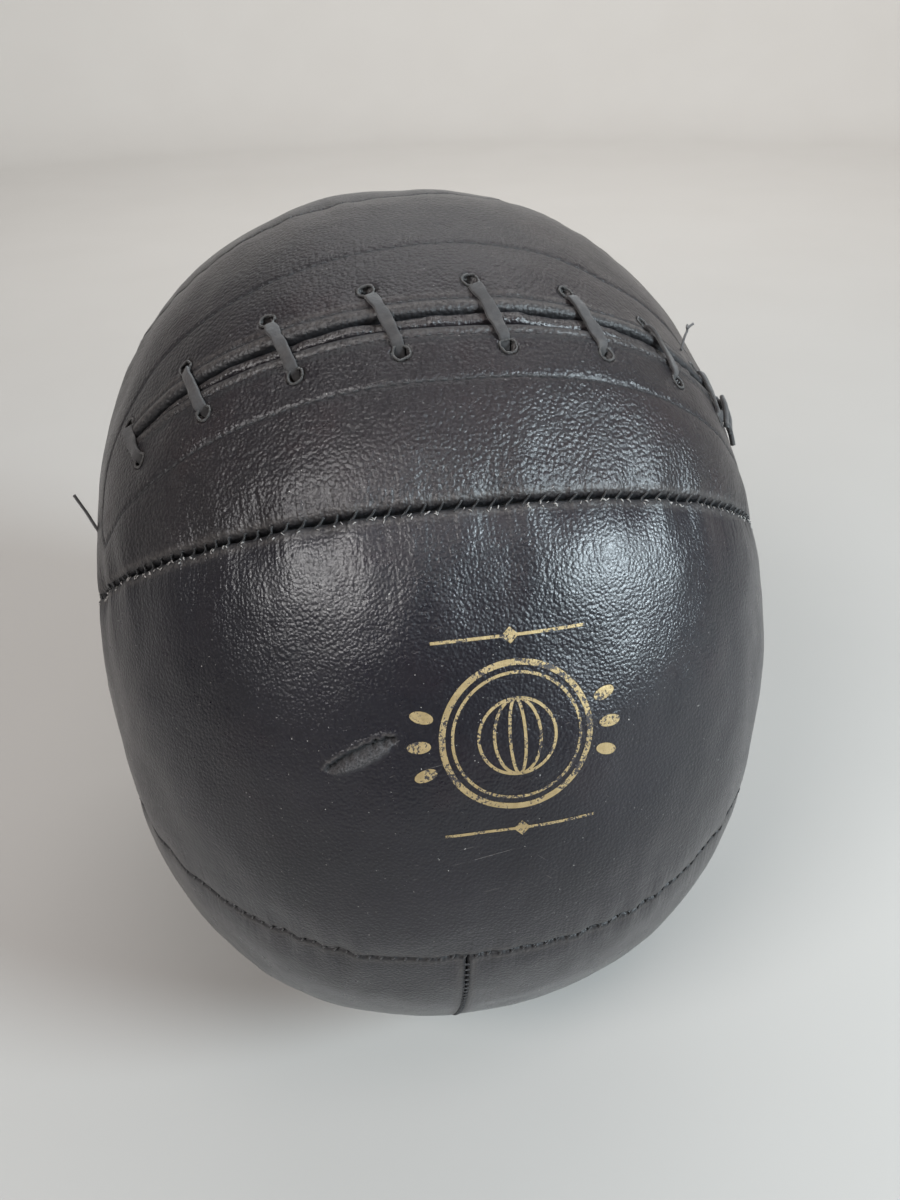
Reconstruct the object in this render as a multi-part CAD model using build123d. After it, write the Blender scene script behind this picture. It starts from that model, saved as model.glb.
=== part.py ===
"""A laced leather medicine ball: seven long leather gores sewn pole to pole over a canvas
liner and a packed stuffing, with one gore slit, faced and laced shut.

Frame: X runs through the two poles of the ball, -Y is its front and +Z is up.  The origin is
on the floor under the middle of the ball, which stands on a small flat it has settled into.
Lengths are in millimetres.  "Run" is a length along the skin from the mid plane towards the
right pole, "elevation" is the angle up from the front horizon, and "depth" is measured
inwards from the outer face of the leather.
"""
import math
import os

from build123d import *

# --- the ball's outer shape -------------------------------------------------------------
BALL_RADIUS = 150.0          # across the gores, half the height of the ball
HALF_WIDTH = 115.0           # from the mid plane to a pole
CROWN_HALF_WIDTH = 5.0       # the straight band round the middle
SHOULDER_RADIUS = 104.0      # the round part of the long section
FOOT_SAG = 6.0               # how far the ball has settled flat on the floor

SHOULDER_CENTRE = BALL_RADIUS - SHOULDER_RADIUS
# The arc over each pole meets the shoulder arc in one tangent line, which fixes its radius.
END_RADIUS = (
    ((HALF_WIDTH - CROWN_HALF_WIDTH) ** 2 + SHOULDER_CENTRE ** 2 - SHOULDER_RADIUS ** 2)
    / (2 * (HALF_WIDTH - CROWN_HALF_WIDTH - SHOULDER_RADIUS))
)
END_CENTRE = HALF_WIDTH - END_RADIUS
END_TURN = math.degrees(math.atan2(SHOULDER_CENTRE, CROWN_HALF_WIDTH - END_CENTRE))
SHOULDER_TURN = 90 - END_TURN
CENTRE_HEIGHT = BALL_RADIUS - FOOT_SAG
REACH = 2 * BALL_RADIUS      # long enough to pass right through the ball

# --- the layers, as depths below the outer face of the leather ---------------------------
LEATHER = 2.2
LAYER_GAP = 0.2
CLOTH = 1.2
LINER_DEPTH = LEATHER + LAYER_GAP
LINER_INNER = LINER_DEPTH + CLOTH
CORE_DEPTH = LINER_INNER + LAYER_GAP
TONGUE_DEPTH = CORE_DEPTH
TONGUE_THICKNESS = 1.0

# --- the gores and their seams ------------------------------------------------------------
GORES = 7
GORE_ANGLE = 360 / GORES
FIRST_SEAM_ELEVATION = 41.3
SEAM_GAP = 1.4
SEAM_THREAD_RADIUS = 0.5
SEAM_THREAD_DEPTH = 1.1
CAP_RADIUS = 30.0
CROSS_SEAM_X = -8.0
GORE_NAMES = [
    "laced_panel",
    "upper_back_panel",
    "back_panel",
    "lower_back_panel",
    "bottom_panel",
    "lower_front_panel",
    "front_panel",
]
SEAM_NAMES = [
    "upper_front_seam_thread",
    "top_seam_thread",
    "upper_back_seam_thread",
    "lower_back_seam_thread",
    "bottom_back_seam_thread",
    "bottom_front_seam_thread",
    "lower_front_seam_thread",
]

# --- the lacing ----------------------------------------------------------------------------
SLIT_ELEVATION = 62.0
SLIT_WIDTH = 5.0
SLIT_HALF_RUN = 101.0
UPPER_ROW_ELEVATION = 67.3
LOWER_ROW_ELEVATION = 58.1
HOLE_PAIRS = 8
HOLE_PITCH = 28.5
LACE_SLANT = 6.5             # how far right of its upper hole each lower hole lies
HOLE_RADIUS = 2.2
LACE_RADIUS = 1.4
LACE_BEND = 2.8
LACE_RISE = 2.6              # of the lace's centre line above the leather
LACE_SINK = 6.6              # of the lace's centre line below it, clear of the tongue
KNOT_RADIUS = 3.2
KNOT_LENGTH = 9.0
KNOT_PLACE = (112.0, 66.0)   # run and elevation
TAIL_RADIUS = 1.2
TAIL_PLACE = (-141.0, 67.5)  # run and elevation of the left tail's root
TAIL_REACH = (3.7, 8.1, 8.0) # of its tip to the right, upwards and out of the skin
TONGUE_WIDTH = 11.0
TONGUE_HALF_RUN = 108.0
POCKET_DEPTH = 9.6
POCKET_MARGIN = 4.0

# --- the lens-shaped facing behind the lacing, in the plan of the laced gore ------------------
FACING_TIP = (99.5, -26.5)
FACING_SHOULDER = (75.0, 14.0)
FACING_TOP = 20.0
FACING_BOTTOM = -32.5
FACING_EDGE = 3.0            # of the facing outside its line of stitching
STITCH_RISE = 0.5
STITCH_WIDTH = 0.8
LIP_STITCH_INSET = 3.0

# --- the foil emblem ------------------------------------------------------------------------
EMBLEM_RUN = 7.0
EMBLEM_ELEVATION = 18.6
EMBLEM_RADIUS = 20.0
FOIL_RISE = 0.3
FOIL_LINE = 1.3              # of the outer ring; the other lines are half as wide
RING_STEP = 3.0              # from the outer ring in to the inner one
BALL_RADIUS_SHARE = 0.5      # of the small ball, to the outer ring
BALL_SEAMS = (1.0, 0.6, 0.2) # half widths of the small ball's seams, to its radius
LEAF_STEP = 5.0              # from the outer ring out to the middle of a leaf
LEAF_HALF_LENGTH = 3.0
LEAF_ANGLES = (-17.5, 0, 17.5)
RULE_STEP = 6.0              # from the outer ring out to a rule
DIAMOND = 3.0


def meridian_plane(elevation):
    """The half plane through the poles at an elevation: its x is the pole axis, its y is outward."""
    angle = math.radians(elevation)
    return Plane(origin=(0, 0, 0), x_dir=(1, 0, 0), z_dir=(0, -math.sin(angle), -math.cos(angle)))


def on_meridian(run, depth=0.0):
    """A point of the long section at a run, as (along the pole axis, outward), and its slope."""
    length = abs(run)
    side = math.copysign(1, run)
    shoulder_run = math.radians(SHOULDER_TURN) * SHOULDER_RADIUS
    if length <= CROWN_HALF_WIDTH:
        return run, BALL_RADIUS - depth, 0.0
    if length <= CROWN_HALF_WIDTH + shoulder_run:
        slope = (length - CROWN_HALF_WIDTH) / SHOULDER_RADIUS
        centre = (CROWN_HALF_WIDTH, SHOULDER_CENTRE)
        radius = SHOULDER_RADIUS - depth
    else:
        slope = math.radians(SHOULDER_TURN) + (length - CROWN_HALF_WIDTH - shoulder_run) / END_RADIUS
        centre = (END_CENTRE, 0)
        radius = END_RADIUS - depth
    along = centre[0] + radius * math.sin(slope)
    outward = centre[1] + radius * math.cos(slope)
    return side * along, outward, side * slope


def skin_plane(run, elevation, depth=0.0):
    """The plane that touches the skin at a place, with z out of the ball and x to the right."""
    along, outward, slope = on_meridian(run, depth)
    angle = math.radians(elevation)
    origin = (along, -outward * math.cos(angle), outward * math.sin(angle))
    normal = (
        math.sin(slope),
        -math.cos(slope) * math.cos(angle),
        math.cos(slope) * math.sin(angle),
    )
    right = (
        math.cos(slope),
        math.sin(slope) * math.cos(angle),
        -math.sin(slope) * math.sin(angle),
    )
    return Plane(origin=origin, x_dir=right, z_dir=normal)


def profile(depth, first_angle=0.0):
    """The long section's outline from near the right pole to near the left one, in order."""
    shoulder = SHOULDER_RADIUS - depth
    end = END_RADIUS - depth
    height = BALL_RADIUS - depth
    return [
        CenterArc((END_CENTRE, 0), end, first_angle, END_TURN - first_angle),
        CenterArc((CROWN_HALF_WIDTH, SHOULDER_CENTRE), shoulder, END_TURN, SHOULDER_TURN),
        Line((CROWN_HALF_WIDTH, height), (-CROWN_HALF_WIDTH, height)),
        CenterArc((-CROWN_HALF_WIDTH, SHOULDER_CENTRE), shoulder, 90, SHOULDER_TURN),
        CenterArc((-END_CENTRE, 0), end, 180 - END_TURN, END_TURN - first_angle),
    ]


def flattened_body(depth):
    """The solid inside the skin moved in by a depth, cut flat where the ball stands."""
    pole = END_CENTRE + END_RADIUS - depth
    section = make_face(profile(depth) + [Line((-pole, 0), (pole, 0))])
    body = revolve(section, axis=Axis.X)
    below = Pos(0, 0, depth - CENTRE_HEIGHT) * Box(
        REACH, REACH, BALL_RADIUS, align=(Align.CENTER, Align.CENTER, Align.MAX)
    )
    return body - below


def layer(outer_depth, inner_depth):
    """The closed skin between two depths."""
    return flattened_body(outer_depth) - flattened_body(inner_depth)


def slab(elevation, thickness, half_length=REACH):
    """A thin board standing on the pole axis in the half plane at an elevation."""
    board = Box(2 * half_length, REACH, thickness, align=(Align.CENTER, Align.MIN, Align.CENTER))
    return meridian_plane(elevation) * board


def wedge(elevation, sweep):
    """The slice of space that starts in one half plane and turns upwards by an angle."""
    page = Rectangle(REACH, REACH, align=(Align.CENTER, Align.MIN))
    return revolve(meridian_plane(elevation) * page, axis=Axis((0, 0, 0), (-1, 0, 0)), revolution_arc=sweep)


def pole_rod(radius):
    """A rod along the pole axis, right through the ball."""
    return Rot(0, 90, 0) * Cylinder(radius, REACH)


def seam_elevation(index):
    """The elevation of one long seam."""
    return FIRST_SEAM_ELEVATION + index * GORE_ANGLE


def gore(index, skin):
    """One leather gore: a slice of the skin between two seams, short of the end caps."""
    piece = skin & wedge(seam_elevation(index), GORE_ANGLE)
    for seam in (index, index + 1):
        piece -= slab(seam_elevation(seam), SEAM_GAP)
    return piece - pole_rod(CAP_RADIUS + SEAM_GAP / 2)


def end_caps(skin):
    """The two discs that cover the points of the gores, left one first."""
    caps = skin & pole_rod(CAP_RADIUS - SEAM_GAP / 2)
    return caps.solids().sort_by(Axis.X)


def tube(path, radius):
    """A round thread or lace along a path."""
    start = Plane(origin=path @ 0, z_dir=path % 0)
    return sweep(start * Circle(radius), path=path)


def seam_thread(index):
    """The thread that lies in one long seam, from cap to cap."""
    first_angle = math.degrees(math.asin((CAP_RADIUS + 2 * SEAM_GAP) / (END_RADIUS - SEAM_THREAD_DEPTH)))
    flat_path = Wire(profile(SEAM_THREAD_DEPTH, first_angle))
    return tube(meridian_plane(seam_elevation(index)) * flat_path, SEAM_THREAD_RADIUS)


def cross_seam_thread(index):
    """The thread of the short seam across one gore."""
    outward = on_meridian(CROSS_SEAM_X)[1] - SEAM_THREAD_DEPTH
    start = seam_elevation(index)
    margin = math.degrees(2 * SEAM_GAP / outward)
    ring = Plane(origin=(CROSS_SEAM_X, 0, 0), x_dir=(0, -1, 0), z_dir=(-1, 0, 0))
    path = Wire(CenterArc((0, 0), outward, start + margin, GORE_ANGLE - 2 * margin))
    return tube(ring * path, SEAM_THREAD_RADIUS)


def cap_thread(side):
    """The ring of thread round one end cap."""
    along = END_CENTRE + math.sqrt((END_RADIUS - SEAM_THREAD_DEPTH) ** 2 - CAP_RADIUS ** 2)
    return Pos(side * along, 0, 0) * Rot(0, 90, 0) * Torus(CAP_RADIUS, SEAM_THREAD_RADIUS)


def facing_lens():
    """The lens of stitching round the lacing, flat, as seen square on to the laced gore."""
    tip_x, tip_y = FACING_TIP
    shoulder_x, shoulder_y = FACING_SHOULDER
    bottom = ThreePointArc((-tip_x, tip_y), (0, FACING_BOTTOM), (tip_x, tip_y))
    top = ThreePointArc((-shoulder_x, shoulder_y), (0, FACING_TOP), (shoulder_x, shoulder_y))
    right_end = TangentArc((shoulder_x, shoulder_y), (tip_x, tip_y), tangent=top % 1)
    left_end = TangentArc((-shoulder_x, shoulder_y), (-tip_x, tip_y), tangent=(top % 0) * -1)
    return make_face([bottom, right_end, top, left_end])


def facing_prism(outline):
    """A flat outline carried outwards from the pole axis through the laced gore."""
    middle = skin_plane(0, seam_elevation(0) + GORE_ANGLE / 2, BALL_RADIUS)
    return extrude(middle * outline, amount=REACH)


def pair_runs(pair):
    """The runs of the upper and of the lower hole of one pair."""
    middle = (pair - (HOLE_PAIRS - 1) / 2) * HOLE_PITCH
    return middle - LACE_SLANT / 2, middle + LACE_SLANT / 2


def lace_holes():
    """Rods along the skin's normal through every place where the lace goes in or out."""
    rod = Cylinder(HOLE_RADIUS, 2 * POCKET_DEPTH)
    rods = []
    for pair in range(HOLE_PAIRS):
        upper_run, lower_run = pair_runs(pair)
        rods.append(skin_plane(upper_run, UPPER_ROW_ELEVATION) * rod)
        rods.append(skin_plane(lower_run, LOWER_ROW_ELEVATION) * rod)
    return rods


def slit():
    """The opening between the two lips."""
    half_length = on_meridian(SLIT_HALF_RUN)[0]
    return slab(SLIT_ELEVATION, SLIT_WIDTH, half_length)


def lip_stitching(side):
    """The hem stitching along one lip of the slit, above it (side 1) or below it (side -1)."""
    away = side * (SLIT_WIDTH / 2 + LIP_STITCH_INSET)
    board = slab(SLIT_ELEVATION, STITCH_WIDTH, on_meridian(SLIT_HALF_RUN)[0])
    lift = meridian_plane(SLIT_ELEVATION).z_dir * -away
    return layer(-STITCH_RISE, -LAYER_GAP / 2) & Pos(*lift) * board


def lace_row_distance():
    """The distance over the skin between the two rows of holes at the mid plane."""
    return math.radians(UPPER_ROW_ELEVATION - LOWER_ROW_ELEVATION) * BALL_RADIUS


def lace_point(run, elevation, rise):
    """A point of the lace's centre line at a height over the leather."""
    return skin_plane(run, elevation, -rise).origin


def lace():
    """The thong: out of each upper hole, over the slit, into the lower one and on underneath."""
    points = []
    for pair in range(HOLE_PAIRS):
        upper_run, lower_run = pair_runs(pair)
        points.append(lace_point(upper_run, UPPER_ROW_ELEVATION, -LACE_SINK))
        points.append(lace_point(upper_run, UPPER_ROW_ELEVATION, LACE_RISE))
        points.append(lace_point(lower_run, LOWER_ROW_ELEVATION, LACE_RISE))
        points.append(lace_point(lower_run, LOWER_ROW_ELEVATION, -LACE_SINK))
    return tube(FilletPolyline(*points, radius=LACE_BEND), LACE_RADIUS)


def right_knot():
    """The knot that stops the lace at its right end."""
    length = KNOT_LENGTH - 2 * KNOT_RADIUS
    bead = Rot(90, 0, 0) * Cylinder(KNOT_RADIUS, length)
    for end in (-1, 1):
        bead += Pos(0, end * length / 2, 0) * Sphere(KNOT_RADIUS)
    return skin_plane(*KNOT_PLACE, -KNOT_RADIUS - STITCH_RISE) * bead


def left_tail():
    """The left end of the lace, which stands up from the skin."""
    place = skin_plane(*TAIL_PLACE, -2 * STITCH_RISE)
    return place * tube(Line((0, 0, 0), TAIL_REACH), TAIL_RADIUS)


def emblem_sketch():
    """A made-up mark: two rings round a small gored ball, with a sprig each side and two rules."""
    inner_radius = EMBLEM_RADIUS - RING_STEP
    mark = Circle(EMBLEM_RADIUS) - Circle(EMBLEM_RADIUS - FOIL_LINE)
    mark += Circle(inner_radius) - Circle(inner_radius - FOIL_LINE / 2)
    ball = EMBLEM_RADIUS * BALL_RADIUS_SHARE
    for share in BALL_SEAMS:
        outer = Ellipse(share * ball, ball)
        mark += outer - Ellipse(share * ball - FOIL_LINE / 2, ball - FOIL_LINE / 2)
    leaf = Pos(EMBLEM_RADIUS + LEAF_STEP, 0) * Ellipse(LEAF_HALF_LENGTH, FOIL_LINE)
    for side_angle in (0, 180):
        for angle in LEAF_ANGLES:
            mark += Rot(0, 0, side_angle + angle) * leaf
    for rule_height in (-EMBLEM_RADIUS - RULE_STEP, EMBLEM_RADIUS + RULE_STEP):
        mark += Pos(0, rule_height) * Rectangle(2 * EMBLEM_RADIUS, FOIL_LINE / 2)
        mark += Pos(0, rule_height) * Rot(0, 0, 45) * Rectangle(DIAMOND, DIAMOND)
    return mark


def emblem():
    """The gold foil mark on the front panel."""
    middle = skin_plane(EMBLEM_RUN, EMBLEM_ELEVATION, BALL_RADIUS / 2)
    return extrude(middle * emblem_sketch(), amount=REACH) & layer(-FOIL_RISE, -FOIL_RISE / 4)


def build():
    """Every sub-part of the ball by name, with the ball's middle at the origin."""
    skin = layer(0, LEATHER)
    lens = facing_lens()
    holes = lace_holes()
    gap = slit()

    parts = {name: gore(index, skin) for index, name in enumerate(GORE_NAMES)}
    parts["laced_panel"] = parts["laced_panel"] - holes - gap

    pieced = parts.pop("lower_front_panel")
    pieced -= Pos(CROSS_SEAM_X, 0, 0) * Box(SEAM_GAP, REACH, REACH)
    halves = pieced.solids().sort_by(Axis.X)
    parts["lower_front_left_panel"], parts["lower_front_right_panel"] = halves
    parts["left_end_cap"], parts["right_end_cap"] = end_caps(skin)

    for index, name in enumerate(SEAM_NAMES):
        parts[name] = seam_thread(index)
    parts["cross_seam_thread"] = cross_seam_thread(GORE_NAMES.index("lower_front_panel"))
    parts["left_cap_thread"] = cap_thread(-1)
    parts["right_cap_thread"] = cap_thread(1)

    cloth = layer(LINER_DEPTH, LINER_INNER)
    facing = facing_prism(offset(lens, FACING_EDGE))
    window = facing_prism(offset(lens, FACING_EDGE + LAYER_GAP))
    parts["lace_facing"] = (cloth & facing) - holes - gap
    parts["canvas_liner"] = cloth - window
    stitch_line = offset(lens, STITCH_WIDTH / 2) - offset(lens, -STITCH_WIDTH / 2)
    parts["facing_stitching"] = layer(-STITCH_RISE, -LAYER_GAP / 2) & facing_prism(stitch_line)
    parts["upper_lip_stitching"] = lip_stitching(1)
    parts["lower_lip_stitching"] = lip_stitching(-1)

    tongue_board = slab(SLIT_ELEVATION, TONGUE_WIDTH, on_meridian(TONGUE_HALF_RUN)[0])
    parts["lace_tongue"] = layer(TONGUE_DEPTH, TONGUE_DEPTH + TONGUE_THICKNESS) & tongue_board
    pocket_width = lace_row_distance() + 2 * POCKET_MARGIN
    pocket_board = slab(SLIT_ELEVATION, pocket_width, on_meridian(TONGUE_HALF_RUN)[0] + LAYER_GAP)
    parts["stuffing"] = flattened_body(CORE_DEPTH) - (pocket_board - flattened_body(POCKET_DEPTH))

    parts["lace"] = lace()
    parts["left_lace_tail"] = left_tail()
    parts["right_lace_knot"] = right_knot()
    parts["foil_emblem"] = emblem()
    return parts


os.makedirs("parts", exist_ok=True)
for part_name, solid in build().items():
    export_step(Pos(0, 0, CENTRE_HEIGHT) * solid, f"parts/{part_name}.step")
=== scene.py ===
import math
from collections import namedtuple

import bmesh
import bpy
import numpy as np
from mathutils import Matrix, Vector, kdtree


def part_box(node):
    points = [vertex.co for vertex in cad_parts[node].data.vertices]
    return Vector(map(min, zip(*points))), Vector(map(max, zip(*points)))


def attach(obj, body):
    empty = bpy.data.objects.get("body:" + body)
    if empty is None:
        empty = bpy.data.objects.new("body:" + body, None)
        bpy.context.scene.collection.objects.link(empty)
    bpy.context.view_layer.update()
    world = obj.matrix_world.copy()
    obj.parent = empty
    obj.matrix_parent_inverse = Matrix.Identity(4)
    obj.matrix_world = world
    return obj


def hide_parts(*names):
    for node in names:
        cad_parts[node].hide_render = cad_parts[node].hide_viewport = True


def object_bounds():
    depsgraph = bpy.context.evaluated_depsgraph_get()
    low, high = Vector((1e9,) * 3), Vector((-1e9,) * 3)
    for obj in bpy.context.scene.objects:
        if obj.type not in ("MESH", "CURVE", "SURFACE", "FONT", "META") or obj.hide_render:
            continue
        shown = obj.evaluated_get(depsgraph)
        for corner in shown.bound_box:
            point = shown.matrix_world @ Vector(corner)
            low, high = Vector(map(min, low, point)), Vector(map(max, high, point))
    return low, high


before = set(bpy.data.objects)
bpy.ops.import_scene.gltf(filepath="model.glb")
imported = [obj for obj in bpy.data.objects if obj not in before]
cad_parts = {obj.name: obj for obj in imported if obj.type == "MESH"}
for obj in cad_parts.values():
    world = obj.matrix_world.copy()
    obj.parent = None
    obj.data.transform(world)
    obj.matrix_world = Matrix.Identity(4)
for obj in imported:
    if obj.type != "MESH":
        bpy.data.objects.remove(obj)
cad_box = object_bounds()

# Lengths in this script are in millimetres until a mesh is made, because the ball's detail is
# that size.  "Run" is a length along the skin from the mid plane towards the right pole and
# "elevation" is the angle in degrees up from the front horizon, as in the CAD model.
MM = 0.001

# --- the smooth ball, from the frame ---
HALF_WIDTH = (cad_box[1].x - cad_box[0].x) / 2 / MM
BALL_RADIUS = (cad_box[1].y - cad_box[0].y) / 2 / MM
CENTRE_HEIGHT = cad_box[1].z / MM - BALL_RADIUS
CROWN_HALF_WIDTH = 5.0
SHOULDER_RADIUS = 104.0
SHOULDER_CENTRE = BALL_RADIUS - SHOULDER_RADIUS
END_RADIUS = (
    ((HALF_WIDTH - CROWN_HALF_WIDTH) ** 2 + SHOULDER_CENTRE ** 2 - SHOULDER_RADIUS ** 2)
    / (2 * (HALF_WIDTH - CROWN_HALF_WIDTH - SHOULDER_RADIUS))
)
END_CENTRE = HALF_WIDTH - END_RADIUS
SHOULDER_TURN = math.atan2(CROWN_HALF_WIDTH - END_CENTRE, SHOULDER_CENTRE)
SHOULDER_END = CROWN_HALF_WIDTH + SHOULDER_TURN * SHOULDER_RADIUS
POLE_RUN = SHOULDER_END + END_RADIUS * (math.pi / 2 - SHOULDER_TURN)
HALF_SEAM_GAP = 0.7
CAP_RADIUS = (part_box("left_end_cap")[1].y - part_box("left_end_cap")[0].y) / 2 / MM + HALF_SEAM_GAP
CAP_RUN = POLE_RUN - END_RADIUS * math.asin(CAP_RADIUS / END_RADIUS)

# --- the gores ---
GORES = 7
GORE_ANGLE = 360 / GORES
FIRST_SEAM_ELEVATION = 41.3
HAND_SEAM = 0                # the heavy hand-sewn seam between the laced and the front panel
SEAM_PULL = {HAND_SEAM: 1.7}
USUAL_PULL = 1.1
HAND_STITCH_PITCH = 4.4
STITCH_PITCH = 3.4
CROSS_SEAM_RUN = -8.0

# --- the lacing ---
SLIT_ELEVATION = 62.0
SLIT_WIDTH = 5.0
SLIT_HALF_RUN = 102.0
SLIT_RISE = 1.6              # in degrees, at the slit's ends
UPPER_ROW_ELEVATION = 67.3
LOWER_ROW_ELEVATION = 58.1
HOLE_PAIRS = 8
HOLE_PITCH = 28.5
LACE_SLANT = 6.5
HOLE_RADIUS = 1.9
HOLE_SURROUND = 3.4          # the radius at which the leather is not drawn into a hole
LACE_WIDTH = 3.4
LACE_THICKNESS = 1.05

# --- the lens of stitching round the lacing, in the plan of the laced gore ---
FACING_ELEVATION = FIRST_SEAM_ELEVATION + GORE_ANGLE / 2
FACING_TIP = (99.5, -26.5)
FACING_CORNER = (96.6, -0.6)
FACING_SHOULDER = (75.0, 14.0)
FACING_TOP = 20.0
FACING_BOTTOM = -32.5

EMBLEM_RUN = 7.0
EMBLEM_ELEVATION = 18.6
EMBLEM_RADIUS = 20.0
SCUFF_RUN = -33.0
SCUFF_ELEVATION = 18.2
SCUFF_TILT = 24.0
SCUFF_HALF_LENGTH = 10.5
SCUFF_HALF_WIDTH = 2.7


# === camera, stage and light ===

CAMERA_ELEVATION = 32.6      # above the horizon, in degrees
CAMERA_YAW = 7.0             # the left pole is turned towards the camera by this much
CAMERA_ROLL = 6.1            # the right side of the picture hangs up by this much
CAMERA_DISTANCE = 0.394      # from the middle of the ball
CAMERA_LENS = 30.0
BALL_AIM = Vector((-0.0288, -0.0019, -1.0))   # the ball's middle, seen along the camera's axes

FLOOR_REACH = 2.2            # in metres, to where the floor starts to curve up
WALL_REACH = 3.2
WALL_HEIGHT = 2.4


def add_camera():
    """The camera, close to the ball, above it and a little to one side."""
    data = bpy.data.cameras.new("camera")
    data.lens = CAMERA_LENS
    data.sensor_width = 36.0
    data.clip_start = 0.01
    turn = (
        Matrix.Rotation(math.radians(90 - CAMERA_ELEVATION), 3, "X")
        @ Matrix.Rotation(math.radians(-CAMERA_YAW), 3, "Y")
        @ Matrix.Rotation(math.radians(-CAMERA_ROLL), 3, "Z")
    )
    middle = Vector((0, 0, CENTRE_HEIGHT * MM))
    camera = bpy.data.objects.new("camera", data)
    place = middle - turn @ (BALL_AIM.normalized() * CAMERA_DISTANCE)
    camera.matrix_world = Matrix.Translation(place) @ turn.to_4x4()
    bpy.context.scene.collection.objects.link(camera)
    bpy.context.scene.camera = camera


def add_area_light(name, place, target, size, power, color):
    """A soft box at a place that faces a target."""
    data = bpy.data.lights.new(name, "AREA")
    data.shape = "ELLIPSE"
    data.size, data.size_y = size
    data.energy = power
    data.color = color
    light = bpy.data.objects.new(name, data)
    light.location = place
    light.rotation_euler = (place - target).to_track_quat("Z", "Y").to_euler()
    bpy.context.scene.collection.objects.link(light)


def add_window(name, azimuth, elevation, distance, size, power, color):
    """A soft box that faces the ball. Azimuth 0 is in front of it and 90 is on its right."""
    a, e = math.radians(azimuth), math.radians(elevation)
    back = Vector((math.sin(a) * math.cos(e), -math.cos(a) * math.cos(e), math.sin(e)))
    middle = Vector((0, 0, CENTRE_HEIGHT * MM))
    add_area_light(name, middle + back * distance, middle, size, power, color)


def add_lights():
    """Two soft windows in front, two dim ones above, and a wash over the wall behind."""
    add_window("window_left", -43, 40, 1.5, (0.62, 0.56), 18.5, (1.0, 0.98, 0.97))
    add_window("window_right", 52, 27, 1.4, (0.43, 0.47), 32, (0.80, 0.93, 1.0))
    add_window("front_top", 22, 64, 1.6, (0.60, 0.40), 3.6, (1.0, 0.89, 0.89))
    add_window("back_top", 165, 50, 1.7, (1.8, 0.9), 3.1, (0.95, 0.98, 1.0))
    wash_place, wash_target = Vector((0.5, 1.0, 2.0)), Vector((0.5, 3.0, 0.3))
    add_area_light("wall_wash", wash_place, wash_target, (3.0, 0.5), 78, (1.0, 0.99, 0.97))
    world = bpy.data.worlds.new("room")
    world.use_nodes = True
    background = world.node_tree.nodes["Background"]
    background.inputs["Color"].default_value = (0.80, 0.81, 0.82, 1)
    background.inputs["Strength"].default_value = 0.13
    bpy.context.scene.world = world
    bpy.context.scene.view_settings.view_transform = "Standard"


# === shape of the skin ===

def long_section(run):
    """The smooth ball's section at some runs: along the pole axis, outward from it, and slope."""
    length = np.abs(run)
    on_shoulder = length <= SHOULDER_END
    slope = np.where(
        on_shoulder,
        np.maximum(length - CROWN_HALF_WIDTH, 0) / SHOULDER_RADIUS,
        SHOULDER_TURN + (length - SHOULDER_END) / END_RADIUS,
    )
    radius = np.where(on_shoulder, SHOULDER_RADIUS, END_RADIUS)
    along = np.where(on_shoulder, CROWN_HALF_WIDTH, END_CENTRE) + radius * np.sin(slope)
    along = np.where(length < CROWN_HALF_WIDTH, length, along)
    outward = np.where(on_shoulder, SHOULDER_CENTRE, 0) + radius * np.cos(slope)
    return np.sign(run) * along, outward, np.sign(run) * slope


def skin(run, elevation, lift=0.0):
    """Points over the smooth ball at some heights, as an array that ends in x, y and z."""
    along, outward, slope = long_section(run)
    angle = np.radians(elevation)
    along = along + lift * np.sin(slope)
    outward = outward + lift * np.cos(slope)
    return np.stack(
        [along, -outward * np.cos(angle), CENTRE_HEIGHT + outward * np.sin(angle)], axis=-1
    )


def seam_elevation(index):
    return FIRST_SEAM_ELEVATION + index * GORE_ANGLE


def across(run, degrees):
    """The length over the skin of an angle across the gores."""
    return long_section(run)[1] * np.radians(degrees)


def turned(run, length):
    """The angle across the gores of a length over the skin."""
    return np.degrees(length / long_section(run)[1])


def waves(points, wavelength, seed, count=20):
    """A smooth random field of unit size, as a sum of plane waves in random directions."""
    random = np.random.default_rng(seed)
    directions = random.normal(size=(count, 3))
    directions /= np.linalg.norm(directions, axis=1, keepdims=True)
    lengths = wavelength * random.uniform(0.7, 1.5, count)
    phases = random.uniform(0, 2 * math.pi, count)
    field = np.zeros(points.shape[:-1])
    for direction, length, phase in zip(directions, lengths, phases):
        field += np.cos(points @ direction * (2 * math.pi / length) + phase)
    return field * math.sqrt(2 / count)


def swell(points):
    """The slow lumps of the stuffing, which every layer over it follows."""
    return 0.42 * waves(points, 85, 1)


def ripple(run, wavelength, seed, count=7):
    """A smooth random line of unit size along a run."""
    random = np.random.default_rng(seed)
    field = np.zeros(np.shape(run))
    for _ in range(count):
        length = wavelength * random.uniform(0.6, 1.7)
        field += np.cos(2 * math.pi * (run / length + random.uniform()))
    return field * math.sqrt(2 / count)


def bump(distance, width):
    """A round ridge of unit height."""
    return np.exp(-(distance / width) ** 2)


def smooth_step(value, low, high):
    t = np.clip((value - low) / (high - low), 0, 1)
    return t * t * (3 - 2 * t)


def slit_line(run):
    """The elevation of the middle of the slit."""
    return SLIT_ELEVATION + SLIT_RISE * (run / SLIT_HALF_RUN) ** 2


def slit_width(run):
    """The distance between the lips, nothing past the slit's ends."""
    share = np.clip(np.abs(run) / SLIT_HALF_RUN, 0, 1)
    return SLIT_WIDTH * (1 - share ** 5) ** 0.6


def lip_line(run, side):
    """The elevation of the lower (side -1) or upper (side 1) lip's edge."""
    return slit_line(run) + side * turned(run, slit_width(run) / 2)


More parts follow.
